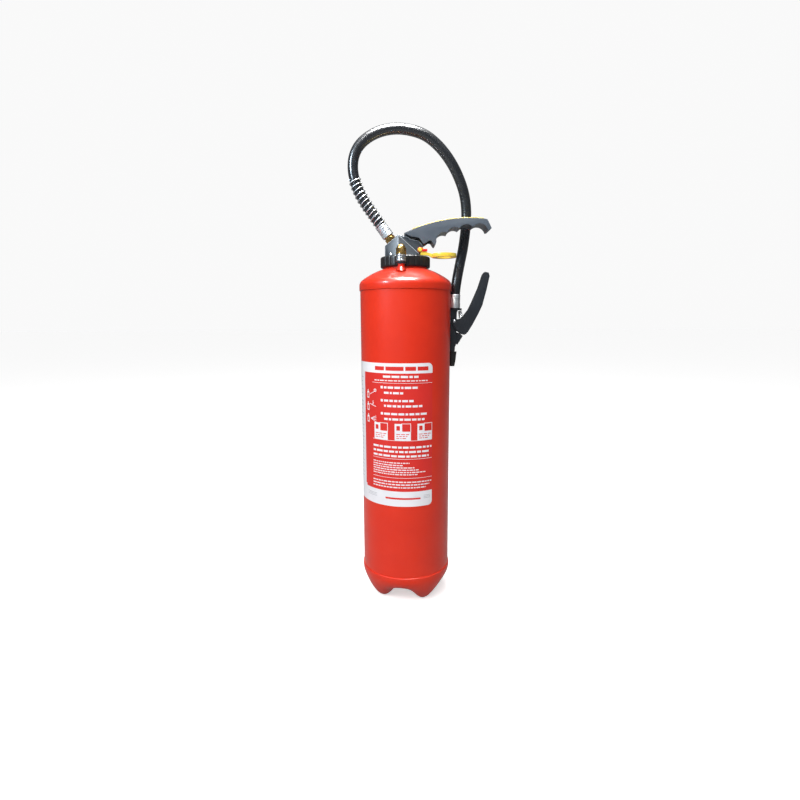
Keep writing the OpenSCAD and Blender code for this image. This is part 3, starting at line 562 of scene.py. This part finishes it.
def makeLabel():
    white, red, grey = 0, 1, 2
    film = bmesh.new()
    patch(film, label["left"], label["right"], 0, label["high"], red, label["film"] - label["ink"],
          corners=((True, True, 8), (True, False, 8)))
    thicken(film, list(film.faces), label["back"])
    bm = bmesh.new()
    patch(bm, -100, 34, 232, 249, white, corners=((True, True, 8), (True, False, 1)))
    patch(bm, -100, 34, 0, 27, white, corners=((True, False, 8), (True, True, 1)))
    patch(bm, -100, -63, 27, 232, white)
    patch(bm, -63, -60.5, 27, 31, white)
    for x0, x1 in ((-41, -27.5), (-25.5, -3), (-1, 12), (14, 28)):  # plain blocks where a title would be
        patch(bm, x0, x1, 236.6, 243.4, red, 0.05)
    wordRow(bm, -29, 15, 224.6, 228.2, white, 5, 6.5, 1.6)
    wordRow(bm, -42, 27.5, 218.9, 220.6, white, 9, 4.0, 1.2)
    for height in (215.6, 117.2, 85.0, 51.3):
        patch(bm, -46, 33.5, height - 0.3, height + 0.3, white)
    for index, top in enumerate((210.2, 187.8, 165.2)):
        patch(bm, -32.6, -29.4, top - 4.2, top, white)
        wordRow(bm, -27.8, (14, 9, 28)[index], top - 3.9, top - 0.3, white, 3 + index, 5.2, 1.5)
        wordRow(bm, -27.8, (-3, 20, 23)[index], top - 13.0, top - 9.4, white, 7 + index, 5.2, 1.5)
    makePictograms(bm, white, red)
    for x0, tab in ((-43, -33.6), (-14.2, -4.9), (13.8, 23.0)):
        x1 = x0 + 19.8
        patch(bm, x0, x1, 117.6, 146.5, white)
        patch(bm, tab - 0.8, x1 + 0.2, 132.0, 147.2, white, 0.03, corners=((False, False, 2),))
        patch(bm, tab, x1 - 0.5, 133.2, 146.3, red, 0.05, corners=((False, False, 1.5),))
        for row, height in enumerate((129.0, 125.6, 122.2)):
            wordRow(bm, x0 + 2, x1 - 2 - row * 2, height - 1.3, height, red, 5 + row, 3.2, 1.1, 0.05)
        patch(bm, x0 + 2.2, x0 + 6.6, 135.0, 143.0, red, 0.05,
              corners=((True, True, 1.5), (False, True, 1.5)))
    for index, height in enumerate((107.2, 99.4, 91.6)):
        wordRow(bm, -45, 33 - index * 2, height - 3.4, height, white, 13 + index, 6.0, 1.5)
    for index, height in enumerate((78.8, 74.6, 70.6, 66.6, 62.4, 58.4)):
        end = (4, -3, 10, 17, 25, 14)[index]
        wordRow(bm, -45.5, end, height - 1.7, height, white, 2 + index, 3.4, 0.9)
    for index, height in enumerate((45.2, 40.2, 35.2)):
        wordRow(bm, -46, (33, 30, 25)[index], height - 2.0, height, white, 4 + index, 3.8, 1.0)
    for height in (19.0, 16.5, 14.0):
        patch(bm, -57, -40, height - 0.35, height + 0.35, grey, 0.05)
        patch(bm, 22, 31.5, height - 0.35, height + 0.35, grey, 0.05)
    patch(bm, -27, 18, 12.6, 15.8, red, 0.05, corners=((True, True, 1.5), (False, False, 1.5)))
    for index in range(26):
        height = 222 - index * 7.2
        wordRow(bm, -97 + (index % 4) * 2, -68 - (index % 3) * 3, height - 1.2, height, grey, 2 + index, 3.2,
                1.0, 0.05)
    thicken(bm, list(bm.faces), label["seat"])
    printed = bpy.data.meshes.new("print")
    bm.to_mesh(printed)
    bm.free()
    film.from_mesh(printed)
    bpy.data.meshes.remove(printed)
    newPiece("labelFilm", film, "root", [filmWhite, filmRed, filmGrey], ("label",), 60)


def makePictograms(bm, white, red):
    for middle in (194.5, 173.0, 152.0):  # a bottle in plain strokes
        patch(bm, -57.2, -52.6, middle - 7.5, middle + 4.5, white,
              corners=((True, True, 2), (False, True, 2)))
        patch(bm, -56.2, -53.6, middle - 5.5, middle + 1.5, red, 0.03)
        patch(bm, -55.7, -54.1, middle + 4.5, middle + 7.5, white)
    patch(bm, -51.5, -41, 196.6, 197.6, white, turn=24)  # a pin drawn out
    patch(bm, -43.4, -39.4, 199.2, 204.4, white,
          corners=((True, True, 2), (False, True, 2), (True, False, 2), (False, False, 2)))
    patch(bm, -42.3, -40.5, 200.6, 203.0, red, 0.03)
    patch(bm, -51.5, -40, 175.2, 176.2, white, turn=-14)  # a lever pressed down
    patch(bm, -45.6, -44.8, 176.5, 183.5, white)
    patch(bm, -46.8, -43.6, 178.0, 178.9, white, turn=38)
    for turn in (-22, -8, 8, 22):  # a spray
        patch(bm, -50, -39.5, 151.5 + turn * 0.12, 152.3 + turn * 0.12, white, turn=turn)


makeLabel()
print("label made")

# ---- Ring nut, head and relief valve
ringNut = {"radius": 43.5, "height": 18.5, "bore": 39.2, "plate": 7, "hole": 30, "round": 2.6, "ribs": 24,
           "deep": 0.8}


def makeRingNut():
    r, curve, low = ringNut["radius"], ringNut["round"], ringTop - ringNut["height"]
    line = [(ringNut["hole"], ringTop)] + arcPoints(r - curve, ringTop - curve, curve, 90, 0, 6)
    line += [(r, low + curve + (ringNut["height"] - 2 * curve) * i / 4) for i in range(3, 0, -1)]
    line += arcPoints(r - curve, low + curve, curve, 0, -90, 6)
    line += [(ringNut["bore"], low), (ringNut["bore"], ringTop - ringNut["plate"]),
             (ringNut["hole"], ringTop - ringNut["plate"])]
    bm = spunMesh(line, ringNut["ribs"] * 14)
    for vert in bm.verts:
        reach = math.hypot(vert.co.x, vert.co.y) / mm
        if reach > ringNut["bore"] + 0.5:
            wave = max(0.0, math.cos(ringNut["ribs"] * math.atan2(vert.co.y, vert.co.x) + math.pi)) ** 5
            scale = 1 - ringNut["deep"] * wave * (reach - ringNut["bore"]) / (r - ringNut["bore"]) / reach
            vert.co.x *= scale
            vert.co.y *= scale
    newPiece("ringNut", bm, "root", ringBlack, ("cap_ring",), 40)


makeRingNut()
reliefValve = {"x": -7.5, "y": -54, "plate": 12.5, "spring": 16.1}
reliefBase = domeHeight(math.hypot(reliefValve["x"], reliefValve["y"]))
# the bevelled edges get the lighter edge colour, partly wear and partly a painted highlight
headCasting = {"node": "head_block", "body": "root", "slot": "grey_casting", "width": 0.8, "crease": 20,
               "wornAndHighlitEdges": True, "shortest": 2.0}
softened("headCasting", [headGrey, headEdgeWearHighlight], headCasting)
facetScrew = {"node": "facet_screw", "body": "root", "slot": "steel", "width": 0.5}
softened("facetScrew", chrome, facetScrew)
leverPin = {"node": "lever_pivot_pin", "body": "root", "slot": "steel", "width": 0.4, "segments": 2}
softened("leverPin", steel, leverPin)
reliefBody = {"node": "relief_body", "body": "root", "slot": "steel", "width": 0.25, "segments": 2,
              "darkBelow": reliefBase + reliefValve["plate"]}
softened("reliefBody", [nickel, darkSteel], reliefBody)
reliefCap = {"node": "relief_cap", "body": "root", "slot": "brass", "width": 0.45, "crease": 20}
softened("reliefCap", brass, reliefCap)
hoseNipple = {"node": "hose_nipple", "body": "root", "slot": "brass", "width": 0.45, "crease": 20}
softened("hoseNipple", brass, hoseNipple)
for node, finish in {"cartridge": steel, "cartridge_seal": brass, "dip_tube": rubber, "dip_strainer": rubber,
                     "gas_tube": steel, "relief_poppet": brass,
                     "striker_seal": rubber, "striker": steel, "stem_seal": rubber}.items():
    dress(node, finish)

# ---- Control lever, safety pin and tamper seal
controlLever = {"node": "control_lever", "body": "lever", "slot": "grey_casting", "width": 2.6, "segments": 5,
                "crease": 48}
softened("controlLever", leverGrey, controlLever)
leverStrip = {"node": "lever_top_plate", "body": "lever", "slot": "yellow_plastic", "width": 0.6,
              "crease": 40}
softened("leverStrip", yellowPlastic, leverStrip)
safetyPin = {"node": "safety_pin", "body": "pin", "slot": "yellow_plastic", "width": 0.5}
softened("safetyPin", yellowPlastic, safetyPin)
pullRing = {"node": "pull_ring", "body": "pin", "slot": "yellow_plastic", "width": 1.6, "segments": 4}
softened("pullRing", yellowPlastic, pullRing)
sealTag = {"node": "seal_tag", "body": "pin", "slot": "red_plastic", "width": 0.3, "segments": 2}
softened("sealTag", redPlastic, sealTag)

# ---- Pistol
gunBody = {"node": "pistol_body", "body": "root", "slot": "grey_plastic", "width": 0.8}
softened("gunBody", gunGrey, gunBody)
gunNozzle = {"node": "pistol_nozzle", "body": "root", "slot": "grey_plastic", "width": 0.3, "segments": 2}
softened("gunNozzle", gunGrey, gunNozzle)
valveNut = {"node": "valve_nut", "body": "root", "slot": "grey_plastic", "width": 0.6}
softened("valveNut", gunGrey, valveNut)
valveStem = {"node": "valve_stem", "body": "stem", "slot": "steel", "width": 0.2, "segments": 2}
softened("valveStem", steel, valveStem)
triggerShell = {"node": "trigger", "body": "trigger", "slot": "grey_plastic", "width": 1.5, "segments": 4,
                "taperFrom": 0.012, "taperOver": 0.076, "taper": 0.22}


def taperTrigger(bm):  # the grip narrows towards its tip
    pivot = Vector(gun["pivot"]) * mm
    for vert in bm.verts:
        rise = (vert.co.z - pivot.z - triggerShell["taperFrom"]) / triggerShell["taperOver"]
        rise = min(1.0, max(0.0, rise))
        vert.co.y = pivot.y + (vert.co.y - pivot.y) * (1 - triggerShell["taper"] * rise)


softened("triggerShell", gunGrey, triggerShell, taperTrigger)
triggerPin = {"node": "trigger_pin", "body": "root", "slot": "steel", "width": 0.4}
softened("triggerPin", chrome, triggerPin)
nozzleCup = {"node": "nozzle_holder", "body": "root", "slot": "black_plastic", "width": 0.6}
softened("nozzleCup", cupBlack, nozzleCup)
holderPlate = {"node": "holder_bracket", "body": "root", "slot": "steel", "width": 0.3, "segments": 2}
softened("holderPlate", cupBlack, holderPlate)

# ---- Springs between the two bodies they press apart, each made as one fixed coil
coil = {"steps": 20, "sides": 10}
springs = {
    "strikerSpring": {"node": "striker_spring", "from": "root", "to": "striker", "radius": 4.3, "wire": 0.5,
                      "tall": 9.9, "turns": 5,
                      "place": Matrix.Translation((0.014, 0, (ringTop + 15.6) * mm))},
    "reliefSpring": {"node": "relief_spring", "from": "poppet", "to": "root", "radius": 3.4, "wire": 0.45,
                     "tall": 20.2, "turns": 7,
                     "place": Matrix.Translation(Vector((reliefValve["x"], reliefValve["y"],
                                                         reliefBase + reliefValve["spring"])) * mm)},
    "triggerSpring": {"node": "trigger_spring", "from": "root", "to": "trigger", "radius": 3.4, "wire": 0.55,
                      "tall": 14, "turns": 7,
                      "place": gunPlace @ Matrix.Translation((0.0128, 0, 0.0062))
                      @ Matrix.Rotation(math.radians(-10), 4, "Y")},
}


def makeSpring(name, node, place, radius, wire, tall, turns, **bodies):
    path, outward = [], []
    steps = turns * coil["steps"]
    for i in range(steps + 1):
        turn = 2 * math.pi * i / coil["steps"]
        out = Vector((math.cos(turn), math.sin(turn), 0))
        climb = wire + (tall - 2 * wire) * i / steps
        path.append(place @ ((out * radius + Vector((0, 0, climb))) * mm))
        outward.append(place.to_3x3() @ out)
    piece = newPiece(name, tube(path, wire * mm, coil["sides"], side=outward), None, steel, (node,))
    top = place @ Vector((0, 0, tall * mm))
    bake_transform(piece)


for springName, spring in springs.items():
    makeSpring(springName, **spring)
print("head, lever, pin, pistol and springs made")

# ---- Floor and studio light
studio = {"floor": 30.0, "world": 0.17, "backdrop": 0.95, "glow": 0.56, "sun": 1.2, "sunAngle": 70}
bm = bmesh.new()
bmesh.ops.create_grid(bm, x_segments=1, y_segments=1, size=studio["floor"])
floorMesh = bpy.data.meshes.new("floor")
bm.to_mesh(floorMesh)
bm.free()
floorPaint = Finish("floorPaint", roughness=0.75, specular_ior_level=0.2)
seenDirectly = floorPaint.node("ShaderNodeLightPath", {}, {}, out="Is Camera Ray")
floorPaint.feed(base_color=floorPaint.blend(seenDirectly, shade(0.25, 0.25, 0.25), shade(0.72, 0.72, 0.72)),
                emission_color=floorPaint.blend(seenDirectly, shade(0.12, 0.12, 0.12), shade(1, 1, 1)))
floorPaint.shader.inputs["Emission Strength"].default_value = studio["glow"]
floorMesh.materials.append(floorPaint.material)
floor = bpy.data.objects.new("floor", floorMesh)
bpy.context.scene.collection.objects.link(floor)

world = bpy.data.worlds.new("studio")
world.use_nodes = True
worldNodes = world.node_tree.nodes
dim = worldNodes["Background"]
dim.inputs["Color"].default_value = shade(1, 1, 1)
dim.inputs["Strength"].default_value = studio["world"]
pale = worldNodes.new("ShaderNodeBackground")
pale.inputs["Color"].default_value = shade(1, 1, 1)
pale.inputs["Strength"].default_value = studio["backdrop"]
seen = worldNodes.new("ShaderNodeLightPath")
choice = worldNodes.new("ShaderNodeMixShader")
link = world.node_tree.links.new
link(seen.outputs["Is Camera Ray"], choice.inputs[0])
link(dim.outputs[0], choice.inputs[1])
link(pale.outputs[0], choice.inputs[2])
link(choice.outputs[0], worldNodes["World Output"].inputs["Surface"])
bpy.context.scene.world = world


def lamp(name, place, aim, size, power, shine=True, fill=True, tint=(1, 1, 1)):
    data = bpy.data.lights.new(name, "AREA")
    data.shape = "RECTANGLE"
    data.size, data.size_y = size
    data.energy = power
    data.color = tint
    light = bpy.data.objects.new(name, data)
    light.visible_glossy = shine  # a soft fill leaves no stripe on the paint
    light.visible_diffuse = fill  # and a highlight adds no glare
    direction = Vector(aim) - Vector(place)
    light.matrix_world = Matrix.Translation(place) @ direction.to_track_quat("-Z", "Y").to_matrix().to_4x4()
    bpy.context.scene.collection.objects.link(light)


lamps = {
    "keyBox": {"place": (-0.25, -1.5, 1.6), "aim": (0, 0, 0.6), "size": (0.8, 0.8), "power": 17,
               "shine": False},
    "frontSheen": {"place": (-0.7, -2.2, 0.7), "aim": (0, 0, 0.42), "size": (0.9, 1.7), "power": 6,
                   "shine": False},
    "hoseSheen": {"place": (-1.5, -1.2, 1.4), "aim": (0.05, 0, 0.76), "size": (0.5, 0.6), "power": 60,
                  "fill": False, "tint": (0.72, 0.87, 1.0)},
    "leftBox": {"place": (-1.5, -1.5, 2.0), "aim": (0, 0, 0.60), "size": (1.2, 1.0), "power": 44,
                "shine": False},
    "rightBox": {"place": (2.4, -0.6, 0.9), "aim": (0, 0, 0.55), "size": (0.5, 1.4), "power": 3,
                 "shine": False},
    "roofBox": {"place": (0.03, -0.1, 2.2), "aim": (0.03, -0.099, 0), "size": (0.6, 1.5), "power": 30,
                "shine": False},
    "domeSheen": {"place": (0.02, -0.5, 2.0), "aim": (0, -0.1, 0.6), "size": (0.8, 0.9), "power": 230,
                  "fill": False},
}
for lampName, lampKit in lamps.items():
    lamp(lampName, **lampKit)
sunData = bpy.data.lights.new("roof", "SUN")
sunData.energy = studio["sun"]
sunData.angle = math.radians(studio["sunAngle"])
sun = bpy.data.objects.new("roof", sunData)
bpy.context.scene.collection.objects.link(sun)
print("studio made")
